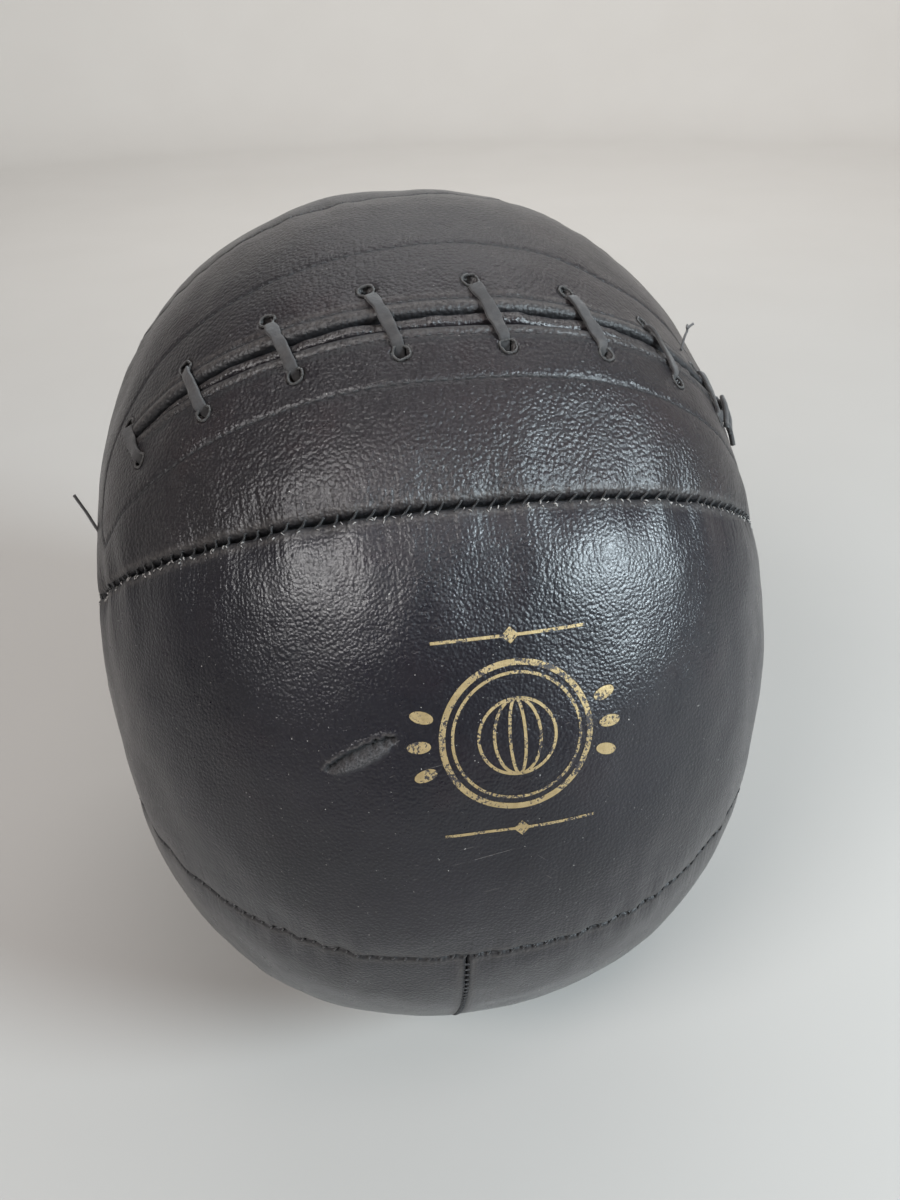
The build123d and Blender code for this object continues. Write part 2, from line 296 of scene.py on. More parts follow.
def hole_places():
    """The run and elevation of every hole, upper and lower in turn."""
    places = []
    for pair in range(HOLE_PAIRS):
        middle = (pair - (HOLE_PAIRS - 1) / 2) * HOLE_PITCH
        places.append((middle - LACE_SLANT / 2, UPPER_ROW_ELEVATION))
        places.append((middle + LACE_SLANT / 2, LOWER_ROW_ELEVATION))
    return places


def arc_through(first, middle, last, count):
    """Points along the circle through three points of a plane."""
    (ax, ay), (bx, by), (cx, cy) = first, middle, last
    twice_area = 2 * (ax * (by - cy) + bx * (cy - ay) + cx * (ay - by))
    squares = [x * x + y * y for x, y in (first, middle, last)]
    centre_x = (squares[0] * (by - cy) + squares[1] * (cy - ay) + squares[2] * (ay - by)) / twice_area
    centre_y = (squares[0] * (cx - bx) + squares[1] * (ax - cx) + squares[2] * (bx - ax)) / twice_area
    radius = math.hypot(ax - centre_x, ay - centre_y)
    angles = np.unwrap([math.atan2(y - centre_y, x - centre_x) for x, y in (first, middle, last)])
    turn = np.linspace(angles[0], angles[2], count)
    return np.stack([centre_x + radius * np.cos(turn), centre_y + radius * np.sin(turn)], axis=1)


def plan_to_skin(plan):
    """The run and elevation of points in the plan of the laced gore."""
    runs = np.linspace(-CAP_RUN, CAP_RUN, 800)
    run = np.interp(plan[:, 0], long_section(runs)[0], runs)
    rise = np.degrees(np.arcsin(plan[:, 1] / long_section(run)[1]))
    return np.stack([run, FACING_ELEVATION + rise], axis=1)


def facing_line():
    """The closed line of stitching round the lacing, as runs and elevations."""
    left = [(-x, y) for x, y in (FACING_TIP, FACING_CORNER, FACING_SHOULDER)]
    plan = np.concatenate([
        arc_through(left[0], (0, FACING_BOTTOM), FACING_TIP, 300),
        arc_through(FACING_TIP, FACING_CORNER, FACING_SHOULDER, 80),
        arc_through(FACING_SHOULDER, (0, FACING_TOP), left[2], 260),
        arc_through(left[2], left[1], left[0], 80),
    ])
    return plan_to_skin(plan)


def even_steps(line, pitch):
    """A line of runs and elevations cut into even steps of a pitch over the skin."""
    points = skin(line[:, 0], line[:, 1])
    steps = np.linalg.norm(np.diff(points, axis=0), axis=1)
    length = np.concatenate([[0], np.cumsum(steps)])
    places = np.linspace(0, length[-1], max(2, round(length[-1] / pitch)) + 1)
    return np.stack([np.interp(places, length, line[:, i]) for i in (0, 1)], axis=1)


def nearest_tree(line):
    """A search tree of the points of a line over the skin."""
    points = skin(line[:, 0], line[:, 1])
    tree = kdtree.KDTree(len(points))
    for index, point in enumerate(points):
        tree.insert(point, index)
    tree.balance()
    return tree


facing_path = even_steps(facing_line(), 0.7)
facing_tree = nearest_tree(facing_path)


def facing_distance(run, elevation):
    """The distance over the skin to the line of stitching round the lacing."""
    points = skin(run, elevation).reshape(-1, 3)
    distances = np.array([facing_tree.find(point)[2] for point in points])
    return distances.reshape(run.shape)


def seam_relief(run, elevation):
    """How the long seams and the cap seams pull the skin in, and pucker it."""
    height = np.zeros(np.shape(run))
    for index in range(GORES):
        away = (elevation - seam_elevation(index) + 180) % 360 - 180
        distance = np.abs(across(run, away))
        pull = SEAM_PULL.get(index, USUAL_PULL)
        height -= pull * np.exp(-distance / 6.5)
        height += 0.22 * pull * np.exp(-distance / 7) * ripple(run, 13, 10 + index)
        if index == HAND_SEAM:
            pucker = np.cos(2 * math.pi * run / HAND_STITCH_PITCH)
            height -= 0.20 * np.exp(-distance / 2.6) * pucker
    height *= np.abs(run) < CAP_RUN + FINE_EDGE.roll
    return height - USUAL_PULL * np.exp(-np.abs(CAP_RUN - np.abs(run)) / 6)


def slit_relief(run, elevation):
    """The rolled lips of the slit, their creases and hem, and the dents of the holes."""
    offset = across(run, elevation - slit_line(run))
    inside = smooth_step(SLIT_HALF_RUN - np.abs(run), -6, 6)
    over = np.abs(offset) - slit_width(run) / 2
    upper = offset > 0
    roll = np.where(upper, 0.50 * bump(over - 2.2, 1.8), 0.22 * bump(over - 1.3, 1.3))
    crease = np.where(upper, 0.36 * bump(over - 4.6, 0.7), 0.30 * bump(over - 3.0, 0.55))
    height = inside * (roll - crease)
    height += inside * 0.10 * bump(over - 6, 4) * ripple(run, 17, 31)
    for hole_run, hole_elevation in hole_places():
        distance = np.hypot(run - hole_run, across(run, elevation - hole_elevation))
        height -= 0.35 * bump(distance, 5.0) + 4.0 * smooth_step(-distance, -2.7, -2.0)
    return height


def scuff_place(run, elevation):
    """Along and across the scuff on the front panel, which rises to the right."""
    tilt = math.radians(SCUFF_TILT)
    x = run - SCUFF_RUN
    y = across(run, elevation - SCUFF_ELEVATION)
    return x * math.cos(tilt) + y * math.sin(tilt), y * math.cos(tilt) - x * math.sin(tilt)


def scuff_shape(run, elevation):
    """The torn place: how far inside it a point is, and how far under its upper edge."""
    along, up = scuff_place(run, elevation)
    ragged = 0.35 * ripple(along, 3.2, 51)
    belly = np.sqrt(np.clip(1 - (along / SCUFF_HALF_LENGTH) ** 2, 0, 1))
    upper = SCUFF_HALF_WIDTH * 0.75 * belly + ragged * belly
    lower = -SCUFF_HALF_WIDTH * 1.25 * belly + 0.5 * ragged * belly
    inside = smooth_step(np.minimum(upper - up, up - lower), 0, 0.6) * (belly > 0.02)
    return inside, upper - up


def near_scuff(run, elevation):
    """Whether a place is inside the box round the scuff."""
    along, up = scuff_place(run, elevation)
    return (np.abs(along) < SCUFF_HALF_LENGTH) & (np.abs(up) < 2 * SCUFF_HALF_WIDTH)


def scuff_relief(run, elevation):
    """A dark undercut beneath a curled upper edge, and the rough raised flap below it."""
    inside, under = scuff_shape(run, elevation)
    along, up = scuff_place(run, elevation)
    hollow = 1.7 * inside * bump(under - 1.1, 1.0)
    flap = 0.40 * inside * smooth_step(under, 1.6, 3.0)
    nap = 0.10 * inside * (ripple(along * 1.3 + up, 1.3, 52) + ripple(up * 1.1 - along, 0.9, 53))
    curl = 0.35 * near_scuff(run, elevation) * bump(under + 0.5, 0.5)
    return flap - hollow + nap + curl


def relief(run, elevation):
    """The height of the real, lumpy and stitched skin over the smooth ball."""
    points = skin(run, elevation)
    height = swell(points) + 0.20 * waves(points, 34, 2) + 0.05 * waves(points, 12, 3)
    height += seam_relief(run, elevation) + 0.35
    if np.any((elevation > FIRST_SEAM_ELEVATION - 8) & (elevation < seam_elevation(1) + 8)):
        height += slit_relief(run, elevation)
        distance = facing_distance(run, elevation)
        height -= 0.36 * bump(distance, 0.8) + 0.30 * np.exp(-distance / 5)
    if np.any(np.abs(elevation - SCUFF_ELEVATION) < 10):
        height += scuff_relief(run, elevation)
    return height


def on_floor(points):
    """The same points, with the ball's underside settled flat on the floor."""
    settled = points.copy()
    height = points[..., 2]
    softness = 1.6
    settled[..., 2] = (height + np.sqrt(height ** 2 + softness ** 2)) / 2 - 0.09
    return settled


def worked_skin(run, elevation, lift=0.0):
    """Points at some heights over the real skin."""
    return on_floor(skin(run, elevation, relief(run, elevation) + lift))


# === mesh makers ===

def grid_faces(rows, columns, first=0, closed=False):
    """The quads of a grid of points whose normal is row direction times column direction."""
    index = first + np.arange(rows * columns).reshape(rows, columns)
    if closed:
        index = np.concatenate([index, index[:, :1]], axis=1)
    corners = [index[:-1, :-1], index[1:, :-1], index[1:, 1:], index[:-1, 1:]]
    return np.stack(corners, axis=-1).reshape(-1, 4)


def add_piece(name, grids, material, nodes, masks=None, merge=True):
    """A smooth mesh from grids of points in millimetres, standing for some CAD nodes.

    Each grid is (points, closed), with points as rows by columns by 3. Masks are values for every
    point, by name, that the material reads as attributes.
    """
    vertices = np.concatenate([points.reshape(-1, 3) for points, _ in grids]) * MM
    faces, first = [], 0
    for points, closed in grids:
        rows, columns = points.shape[:2]
        faces.append(grid_faces(rows, columns, first, closed))
        first += rows * columns
    mesh = bpy.data.meshes.new(name)
    mesh.from_pydata(vertices.tolist(), [], np.concatenate(faces).tolist())
    for mask, values in (masks or {}).items():
        attribute = mesh.attributes.new(mask, "FLOAT", "POINT")
        attribute.data.foreach_set("value", np.asarray(values, dtype=np.float32).ravel())
    if merge:
        shape = bmesh.new()
        shape.from_mesh(mesh)
        bmesh.ops.remove_doubles(shape, verts=shape.verts, dist=0.004 * MM)
        shape.to_mesh(mesh)
        shape.free()
    mesh.shade_smooth()
    mesh.materials.append(material)
    piece = bpy.data.objects.new(name, mesh)
    bpy.context.scene.collection.objects.link(piece)
    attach(piece, "root")
    if nodes:
        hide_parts(*nodes)
    return piece


def sweep(path, frames, half_widths, half_heights, sides=8, squareness=1.0):
    """A closed tube round a path, as one grid with its ends drawn to a point.

    Frames are the (across, up) directions at every point, and a squareness under 1 flattens the
    section's sides.
    """
    angles = np.linspace(0, 2 * math.pi, sides, endpoint=False) + math.pi / sides
    cos, sin = np.cos(angles), np.sin(angles)
    side_x = np.sign(cos) * np.abs(cos) ** squareness
    side_y = np.sign(sin) * np.abs(sin) ** squareness
    across_axis, up_axis = frames
    ring = (
        path[:, None, :]
        + half_widths[:, None, None] * side_x[None, :, None] * across_axis[:, None, :]
        + half_heights[:, None, None] * side_y[None, :, None] * up_axis[:, None, :]
    )
    first = np.repeat(path[:1, None, :], sides, axis=1)
    last = np.repeat(path[-1:, None, :], sides, axis=1)
    return np.concatenate([first, ring, last])


def path_frames(path, outward):
    """Across and up directions along a path that lies over the skin."""
    along = np.gradient(path, axis=0)
    along /= np.linalg.norm(along, axis=1, keepdims=True)
    across_axis = np.cross(outward, along)
    across_axis /= np.linalg.norm(across_axis, axis=1, keepdims=True)
    return across_axis, np.cross(along, across_axis)


# === leather ===

EDGE_STEPS = np.array([0, 0.15, 0.4, 0.75, 1.2, 1.8])
WALL_DROPS = (3.6, 1.5)
Edge = namedtuple("Edge", "roll gap")
FINE_EDGE = Edge(1.3, 0.12)
HAND_EDGE_ABOVE = Edge(2.2, 0.5)
HAND_EDGE_BELOW = Edge(1.3, 0.15)
LIP_EDGE = Edge(1.2, 0.0)
LACED_SPACING = 0.62         # of the laced panel's mesh


def edge_drop(distance, roll):
    """How far a rolled edge has turned down at a distance from it."""
    reach = np.clip(roll - distance, 0, roll)
    return roll - np.sqrt(roll ** 2 - reach ** 2)


def spread(width, count):
    """Distances over a width, close together near both sides, for every width given."""
    edge = EDGE_STEPS * np.minimum(1, width / 45)[..., None]
    share = np.linspace(0, 1, count)[1:-1]
    inner = edge[..., -1:] + (width[..., None] - 2 * edge[..., -1:]) * share
    return np.concatenate([edge, inner, width[..., None] - edge[..., ::-1]], axis=-1)


def walled(values):
    """The same distances with each end one repeated for the two rows of its wall."""
    first, last = values[..., :1], values[..., -1:]
    return np.concatenate([first, first, values, last, last], axis=-1)


def wall_depths(count):
    """The depth of the walls for a walled row of points."""
    depths = np.zeros(count)
    depths[:2] = WALL_DROPS
    depths[-2:] = WALL_DROPS[::-1]
    return depths


def panel_grid(low_line, high_line, first_run, last_run, spacing, edges, end_edges, opening=None):
    """One panel of leather between two lines of elevation, with its turned-in edges.

    Edges are the low and the high one and end_edges the left and the right one. Opening is the
    side that a lip of the slit is on, 0 or 1, and a function that says where that lip is free.
    """
    length = np.array(last_run - first_run - end_edges[0].gap - end_edges[1].gap)
    along = walled(spread(length, max(3, round(float(length) / spacing))))
    runs = first_run + end_edges[0].gap + along
    low = low_line(runs) + turned(runs, edges[0].gap)
    high = high_line(runs) - turned(runs, edges[1].gap)
    width = across(runs, high - low)
    count = max(3, round(float(width.max()) / spacing))
    over = walled(spread(width, count))
    run = np.repeat(runs[:, None], over.shape[1], axis=1)
    elevation = low[:, None] + turned(run, over)
    free = np.ones((2, len(runs)))
    if opening is not None:
        free[opening[0]] = opening[1](runs)

    drop = free[0][:, None] * edge_drop(over, edges[0].roll)
    drop += free[1][:, None] * edge_drop(width[:, None] - over, edges[1].roll)
    drop += edge_drop(along, end_edges[0].roll)[:, None]
    drop += edge_drop(length - along, end_edges[1].roll)[:, None]
    walls = np.repeat(wall_depths(over.shape[1])[None, :], len(runs), axis=0)
    walls[:, :2] *= free[0][:, None]
    walls[:, -2:] *= free[1][:, None]
    drop += np.maximum(walls, wall_depths(len(runs))[:, None])
    points = worked_skin(run, elevation, -drop)

    to_end = np.minimum(along, length - along)[:, None]
    to_edge, to_seam = to_end, to_end
    for side, distance in enumerate((over, width[:, None] - over)):
        to_edge = np.minimum(to_edge, np.where(free[side][:, None] > 0.5, distance, np.inf))
        if opening is None or side != opening[0]:
            to_seam = np.minimum(to_seam, distance)
    return points, run, elevation, to_edge, to_seam


def leather_masks(run, elevation, to_edge, to_seam):
    """Where the leather gets painted shade, is rubbed pale, or is drawn into fine wrinkles."""
    # painted shade: darker where a panel's edge rolls down into its seam
    recess_shade = np.exp(-to_edge / 1.6)
    rub = 0.8 * bump(to_edge - 1.7, 1.1)
    strain = np.exp(-to_seam / 12)
    if elevation.max() > FIRST_SEAM_ELEVATION + 1 and elevation.min() < seam_elevation(1) - 1:
        offset = across(run, elevation - slit_line(run))
        over = np.abs(offset) - slit_width(run) / 2
        inside = smooth_step(SLIT_HALF_RUN - np.abs(run), -6, 6)
        rub = np.maximum(rub, inside * 0.9 * bump(over - 2.2, 1.4) * (offset > 0))
        rub = np.maximum(rub, inside * 0.6 * bump(over - 6.0, 0.9) * (offset > 0))
        # painted shade in the crease along the lips
        recess_shade = np.maximum(recess_shade, 0.8 * inside * bump(over - 4.4, 0.7))
        line = facing_distance(run, elevation)
        # painted shade along the groove of the facing stitches
        recess_shade = np.maximum(recess_shade, 0.9 * bump(line, 0.55))
        strain = np.maximum(strain, 0.5 * np.exp(-line / 6))
        for hole_run, hole_elevation in hole_places():
            distance = np.hypot(run - hole_run, across(run, elevation - hole_elevation))
            rub = np.maximum(rub, 0.8 * bump(distance - HOLE_RADIUS - 0.5, 0.5))
            # painted shade inside the holes
            recess_shade = np.maximum(recess_shade, distance < HOLE_RADIUS)
    torn = np.zeros(run.shape)
    if np.any(np.abs(elevation - SCUFF_ELEVATION) < 10):
        torn, under = scuff_shape(run, elevation)
        # painted shade in the undercut beneath the scuff's curled edge
        recess_shade = np.maximum(recess_shade, torn * bump(under - 0.8, 1.0))
        rim = (torn < 0.5) * bump(under + 0.4, 0.35) * near_scuff(run, elevation)
        rub = np.maximum(rub, 0.9 * rim)
    return {"recess_shade": recess_shade, "rub": rub, "strain": strain, "torn": torn}


def add_leather(name, grids, material):
    """A panel made from panel_grid's results, joined where two of them meet."""
    masks = [leather_masks(*grid[1:]) for grid in grids]
    masks = {key: np.concatenate([mask[key].ravel() for mask in masks]) for key in masks[0]}
    masks["run"] = np.concatenate([grid[1].ravel() for grid in grids])
    add_piece(name + "_leather", [(grid[0], False) for grid in grids], material, [name], masks)


def level(elevation):
    """A line along the ball at one elevation."""
    return lambda runs: np.full(np.shape(runs), float(elevation))


def seam_edge(index):
    """The edge of a plain gore at a seam; the hand-sewn one has it on the lower side."""
    return HAND_EDGE_BELOW if index % GORES == HAND_SEAM else FINE_EDGE


def slit_opening(runs):
    """Whether the lips are free of each other at some runs, from 0 to 1."""
    return smooth_step(SLIT_HALF_RUN - np.abs(runs), 0, 3)


def lower_lip(runs):
    return lip_line(runs, -1)


def upper_lip(runs):
    return lip_line(runs, 1)


def add_laced_panel(material):
    """The front top gore: a lower and an upper flap that meet past the ends of the slit."""
    reach = (-CAP_RUN, CAP_RUN, LACED_SPACING)
    ends = (FINE_EDGE, FINE_EDGE)
    lower = panel_grid(
        level(seam_elevation(0)), lower_lip, *reach, (HAND_EDGE_ABOVE, LIP_EDGE), ends, (1, slit_opening)
    )
    upper = panel_grid(
        upper_lip, level(seam_elevation(1)), *reach, (LIP_EDGE, FINE_EDGE), ends, (0, slit_opening)
    )
    add_leather("laced_panel", [lower, upper], material)


GORE_PIECES = (
    ("upper_back_panel", 1, -CAP_RUN, CAP_RUN, 1.5),
    ("back_panel", 2, -CAP_RUN, CAP_RUN, 1.5),
    ("lower_back_panel", 3, -CAP_RUN, CAP_RUN, 1.5),
    ("bottom_panel", 4, -CAP_RUN, CAP_RUN, 1.5),
    ("lower_front_left_panel", 5, -CAP_RUN, CROSS_SEAM_RUN, 1.3),
    ("lower_front_right_panel", 5, CROSS_SEAM_RUN, CAP_RUN, 1.3),
    ("front_panel", 6, -CAP_RUN, CAP_RUN, 0.7),
)


def add_gores(material):
    """The plain gores, one of them pieced from two."""
    for name, index, first_run, last_run, spacing in GORE_PIECES:
        low, high = seam_elevation(index), seam_elevation(index + 1)
        if index == GORES - 1:
            low, high = low - 360, high - 360
        edges = (seam_edge(index), seam_edge(index + 1))
        ends = (FINE_EDGE, FINE_EDGE)
        grid = panel_grid(level(low), level(high), first_run, last_run, spacing, edges, ends)
        add_leather(name, [grid], material)


def add_end_caps(material):
    """The round caps that close the gores at both poles."""
    reach = POLE_RUN - CAP_RUN - FINE_EDGE.gap
    steps = np.concatenate([EDGE_STEPS, np.linspace(EDGE_STEPS[-1], reach, 26)[1:]])
    steps = np.concatenate([steps[:1], steps[:1], steps])
    walls = np.zeros(len(steps))
    walls[:2] = WALL_DROPS
    angles = np.linspace(0, 360, 160, endpoint=False)
    for name, side in (("left_end_cap", -1), ("right_end_cap", 1)):
        run = np.repeat((side * (CAP_RUN + FINE_EDGE.gap + steps))[:, None], len(angles), axis=1)
        elevation = np.repeat(angles[None, :], len(steps), axis=0)
        drop = edge_drop(steps, FINE_EDGE.roll) + walls
        height = swell(skin(run, elevation)) + 0.25 * waves(skin(run, elevation), 22, 4)
        height -= USUAL_PULL * np.exp(-steps / 6)[:, None] + drop[:, None] - 0.35
        points = on_floor(skin(run, elevation, height))
        if side < 0:
            points, run, elevation = (values[:, ::-1] for values in (points, run, elevation))
        to_edge = np.repeat(steps[:, None], len(angles), axis=1)
        masks = {
            # painted shade where the cap's edge rolls down into its seam
            "recess_shade": np.exp(-to_edge / 1.6),
            "rub": 0.8 * bump(to_edge - 1.7, 1.1),
            "strain": np.exp(-to_edge / 9),
            "run": np.radians(elevation) * CAP_RADIUS,
        }
        add_piece(name + "_leather", [(points, True)], material, [name], masks)


# === stitches ===

def stitch(run, elevation, heights, radius):
    """One stitch of thread through some places over the smooth skin, thin at both ends."""
    path = on_floor(skin(run, elevation, heights))
    normal = skin(run, elevation, heights + 1) - skin(run, elevation, heights)
    thickness = radius * np.array([0.6] + [1.0] * (len(run) - 2) + [0.6])
    return sweep(path, path_frames(path, normal), thickness, thickness, sides=6)


def stitches_along(line, pitch, share, radius, lift=0.1):
    """Running stitches on a line of runs and elevations, each as long as a share of the pitch."""
    line = even_steps(line, pitch / 8)
    height = relief(line[:, 0], line[:, 1])
    covered = max(3, round(8 * share))
    profile = np.full(covered + 1, lift)
    profile[[0, -1]] = -2.2 * radius
    made = []
    for start in range(0, len(line) - covered - 1, 8):
        part = slice(start, start + covered + 1)
        made.append((stitch(*line[part].T, height[part] + profile, radius), True))
    return made


def stitches_over(line, pitch, reach, slant, radius, seed, sink=0.0, cap=False):
    """Stitches across a seam from side to side of its groove, one for each pitch."""
    random = np.random.default_rng(seed)
    places = even_steps(line, pitch)
    share = np.array([-1.0, -0.75, -0.35, 0, 0.35, 0.75, 1.0])
    profile = radius * 2 * np.array([-1.3, 0.05, 0.1, -0.1, 0.1, 0.05, -1.3])
    profile -= sink * np.array([0, 0, 0.8, 1.0, 0.8, 0, 0])
    made = []
    for run, elevation in places[:-1]:
        reach_here = reach * random.uniform(0.85, 1.15)
        lean = slant * random.uniform(0.6, 1.3)
        if cap:
            runs = run + np.sign(run) * reach_here * share
            elevations = elevation + np.degrees(lean * share / 2 / CAP_RADIUS)
        else:
            runs = run + lean * share / 2
            elevations = elevation + turned(run, reach_here * share)
        height = relief(runs, elevations)
        height[1:-1] = np.linspace(height[1], height[-2], 5)
        made.append((stitch(runs, elevations, height + profile, radius), True))
    return made


SEAM_THREADS = (
    "upper_front_seam_thread",
    "top_seam_thread",
    "upper_back_seam_thread",
    "lower_back_seam_thread",
    "bottom_back_seam_thread",
    "bottom_front_seam_thread",
    "lower_front_seam_thread",
)


def cross_stitch(elevation):
    """One stitch over the short seam in the lower front gore."""
    elevations = np.full(5, elevation)
    height = relief(np.full(5, CROSS_SEAM_RUN), elevations) + np.array([-0.7, 0, 0.05, 0, -0.7])
    return stitch(CROSS_SEAM_RUN + np.array([-0.9, -0.5, 0, 0.5, 0.9]), elevations, height, 0.26)


def add_seam_threads(thread, waxed_thread):
    """The sewing of every seam between two panels, and of the end caps."""
    ends = CAP_RUN - 2.5
    for index, name in enumerate(SEAM_THREADS):
        elevation = seam_elevation(index) - (360 if index == GORES - 1 else 0)
        line = np.array([[run, elevation] for run in np.linspace(-ends, ends, 400)])
        if index == HAND_SEAM:
            stitches = stitches_over(line, HAND_STITCH_PITCH, 1.6, 2.4, 0.30, index, sink=0.85)
        else:
            stitches = stitches_over(line, STITCH_PITCH, 0.9, 0.8, 0.28, index)
        material = waxed_thread if index == HAND_SEAM else thread
        add_piece(name + "_stitches", stitches, material, [name])

    low, high = seam_elevation(5) + 1.5, seam_elevation(6) - 1.5
    line = np.array([[CROSS_SEAM_RUN, elevation] for elevation in np.linspace(low, high, 120)])
    stitches = [(cross_stitch(elevation), True) for elevation in even_steps(line, 3.0)[:, 1]]
    add_piece("cross_seam_thread_stitches", stitches, thread, ["cross_seam_thread"])

    for side, name in ((-1, "left_cap_thread"), (1, "right_cap_thread")):
        line = np.array([[side * CAP_RUN, angle] for angle in np.linspace(0, 360, 300)])
        stitches = stitches_over(line, STITCH_PITCH, 1.0, 0.7, 0.28, 40 + side, cap=True)
        add_piece(name + "_stitches", stitches, thread, [name])


def add_stitch_fluff(material):
    """Frayed pale fibres where the hand stitches leave the lower panel."""
    random = np.random.default_rng(77)
    ends = CAP_RUN - 20
    fibres = []
    for run in np.arange(-ends, ends, HAND_STITCH_PITCH):
        for _ in range(random.integers(1, 4)):
            place = run + random.uniform(-1.6, 1.6)
            below = random.uniform(0.6, 1.9)
            length, lean = random.uniform(0.3, 1.1, 2) * (1, random.choice((-1, 1)))
            share = np.linspace(-0.5, 0.5, 5)
            runs = place + lean * share
            elevations = FIRST_SEAM_ELEVATION + turned(run, length * share - below)
            heights = relief(runs, elevations) - 0.15 + 0.35 * np.array([0, 0.7, 1, 0.8, 0.3])
            fibres.append((stitch(runs, elevations, heights, random.uniform(0.09, 0.20)), True))
    add_piece("hand_stitch_fibres", fibres, material, [])


def add_lacing_stitches(thread):
    """The running stitches of the facing and of the two hemmed lips."""
    stitches = stitches_along(facing_line(), 3.3, 0.62, 0.30, 0.05)
    add_piece("facing_stitching_thread", stitches, thread, ["facing_stitching"])
    ends = SLIT_HALF_RUN - 2
    for side, inset, name in ((1, 4.6, "upper_lip_stitching"), (-1, 3.0, "lower_lip_stitching")):
        runs = np.linspace(-ends, ends, 400)
        line = np.stack([runs, lip_line(runs, side) + side * turned(runs, inset)], axis=1)
        stitches = stitches_along(line, 3.0, 0.62, 0.27, 0.02)
        add_piece(name + "_thread", stitches, thread, [name])


# === lacing ===

def taut(heights, window):
    """The heights of a thong pulled over some leather: only its high places hold it up."""
    reach = window // 2
    padded = np.pad(heights, reach, mode="edge")
    highest = np.array([padded[i:i + window].max() for i in range(len(heights))])
    padded = np.pad(highest, reach, mode="edge")
    return np.convolve(padded, np.ones(2 * reach + 1) / (2 * reach + 1), mode="valid")


def lace_bar(first, last, seed):
    """One visible length of the thong, from inside an upper hole to inside a lower one."""
    random = np.random.default_rng(seed)
    share = np.linspace(0, 1, 49)
    run = first[0] + (last[0] - first[0]) * share
    elevation = first[1] + (last[1] - first[1]) * share
    bow = random.uniform(-0.5, 0.5)
    run = run + bow * np.sin(math.pi * share)
    base = relief(run, elevation)
    on_leather = (share > 0.16) & (share < 0.84)
    base = np.where(on_leather, base, np.interp(share, share[on_leather], base[on_leather]))
    height = taut(base, 9) + LACE_THICKNESS / 2 + 0.15
    dip = 1 - smooth_step(np.minimum(share, 1 - share), 0.0, 0.16)
    height -= 5.2 * dip ** 1.6
    path = skin(run, elevation, height)
    normal = skin(run, elevation, height + 1) - path
    across_axis, up_axis = path_frames(path, normal)
    twist = 0.30 * random.uniform(-1, 1) + 0.35 * random.uniform(-1, 1) * np.sin(2 * math.pi * share)
    twisted = across_axis * np.cos(twist)[:, None] + up_axis * np.sin(twist)[:, None]
    up_axis = up_axis * np.cos(twist)[:, None] - across_axis * np.sin(twist)[:, None]
    width = LACE_WIDTH / 2 * (1 - 0.28 * dip) * (1 + 0.06 * ripple(share * 20, 6, seed + 1))
    return sweep(path, (twisted, up_axis), width, np.full(49, LACE_THICKNESS / 2), 16, 0.4)


def thong(place, steps, width, thickness, count=40):
    """A short free length of thong through some (run, elevation, height) steps from a place."""
    places = np.array(steps, dtype=float) + (*place, 0)
    share = np.linspace(0, len(places) - 1, count)
    line = np.stack([np.interp(share, range(len(places)), places[:, i]) for i in range(3)], axis=1)
    for _ in range(6):
        line[1:-1] = (line[:-2] + 2 * line[1:-1] + line[2:]) / 4
    path = skin(line[:, 0], line[:, 1], line[:, 2])
    normal = skin(line[:, 0], line[:, 1], line[:, 2] + 1) - path
    frames = path_frames(path, normal)
    return sweep(path, frames, np.full(count, width / 2), np.full(count, thickness / 2), 12, 0.6)


def add_hole_rims(material):
    """The worn, turned-out edge of every hole that the thong passes through."""
    turn = np.linspace(0, 2 * math.pi, 33)
    rims = []
    for index, (run, elevation) in enumerate(hole_places()):
        radius = (HOLE_RADIUS + 0.35) * (1 + 0.05 * ripple(turn * 5, 9, 90 + index))
        runs = run + radius * np.cos(turn)
        elevations = elevation + turned(run, radius * np.sin(turn))
        beside = run + HOLE_SURROUND * np.cos(turn)
        height = relief(beside, elevation + turned(run, HOLE_SURROUND * np.sin(turn)))
        path = skin(runs, elevations, height - 0.05)
        path[-1] = path[0]
        normal = skin(runs, elevations, height + 1) - path
        thickness = 0.34 * (1 + 0.25 * ripple(turn * 5, 3, 120 + index))
        rims.append((sweep(path, path_frames(path, normal), thickness, thickness, sides=8), True))
    add_piece("lace_hole_rims", rims, material, [])


KNOT_PLACE = (114.0, 63.5)   # run and elevation
KNOT_TURNS = (               # the steps of each turn of thong, its width and its thickness
    ([(-7, -4, -3), (-3, -2, 0.4), (1, 0, 1.0), (4, 2.5, 0.6), (3, 5, 0.1)], 3.6, 1.6),
    ([(-5, 5, -3), (-2, 2, 0.4), (0, 0, 2.0), (3, -3, 0.6), (7, -5, 0.1)], 3.6, 1.6),
    ([(-2, -4, 0.2), (-3, 0, 2.0), (1, 3.5, 2.0), (4, 0, 1.7), (1, -4, 0.4)], 3.4, 1.6),
)
STRAY_END_PLACE = (92.0, 72.0)
STRAY_END = [(-2, -3, -1), (-1, -0.5, 1.5), (2, 2, 2.6), (2, 3.2, 3.6), (0, 1.2, 3.0), (5, 4.5, 5.0)]
TAIL_PLACE = (-137.0, 60.0)
TAIL = [(-4, -5, -3), (-1, -1, 1), (1, 2, 4), (3.5, 5, 8)]


def add_lace(material):
    """The thong: its bars between the holes, the knot at the right and the tail at the left."""
    holes = hole_places()
    bars = [(lace_bar(*holes[first:first + 2], 60 + first), True) for first in range(0, len(holes), 2)]
    add_piece("lace_bars", bars, material, ["lace"])

    knot = [(thong(KNOT_PLACE, *turn), True) for turn in KNOT_TURNS]
    knot.append((thong(STRAY_END_PLACE, STRAY_END, 0.8, 0.6, 60), True))
    add_piece("right_knot", knot, material, ["right_lace_knot"])
    tail = [(thong(TAIL_PLACE, TAIL, 2.8, 0.9), True)]
    add_piece("left_tail", tail, material, ["left_lace_tail"])


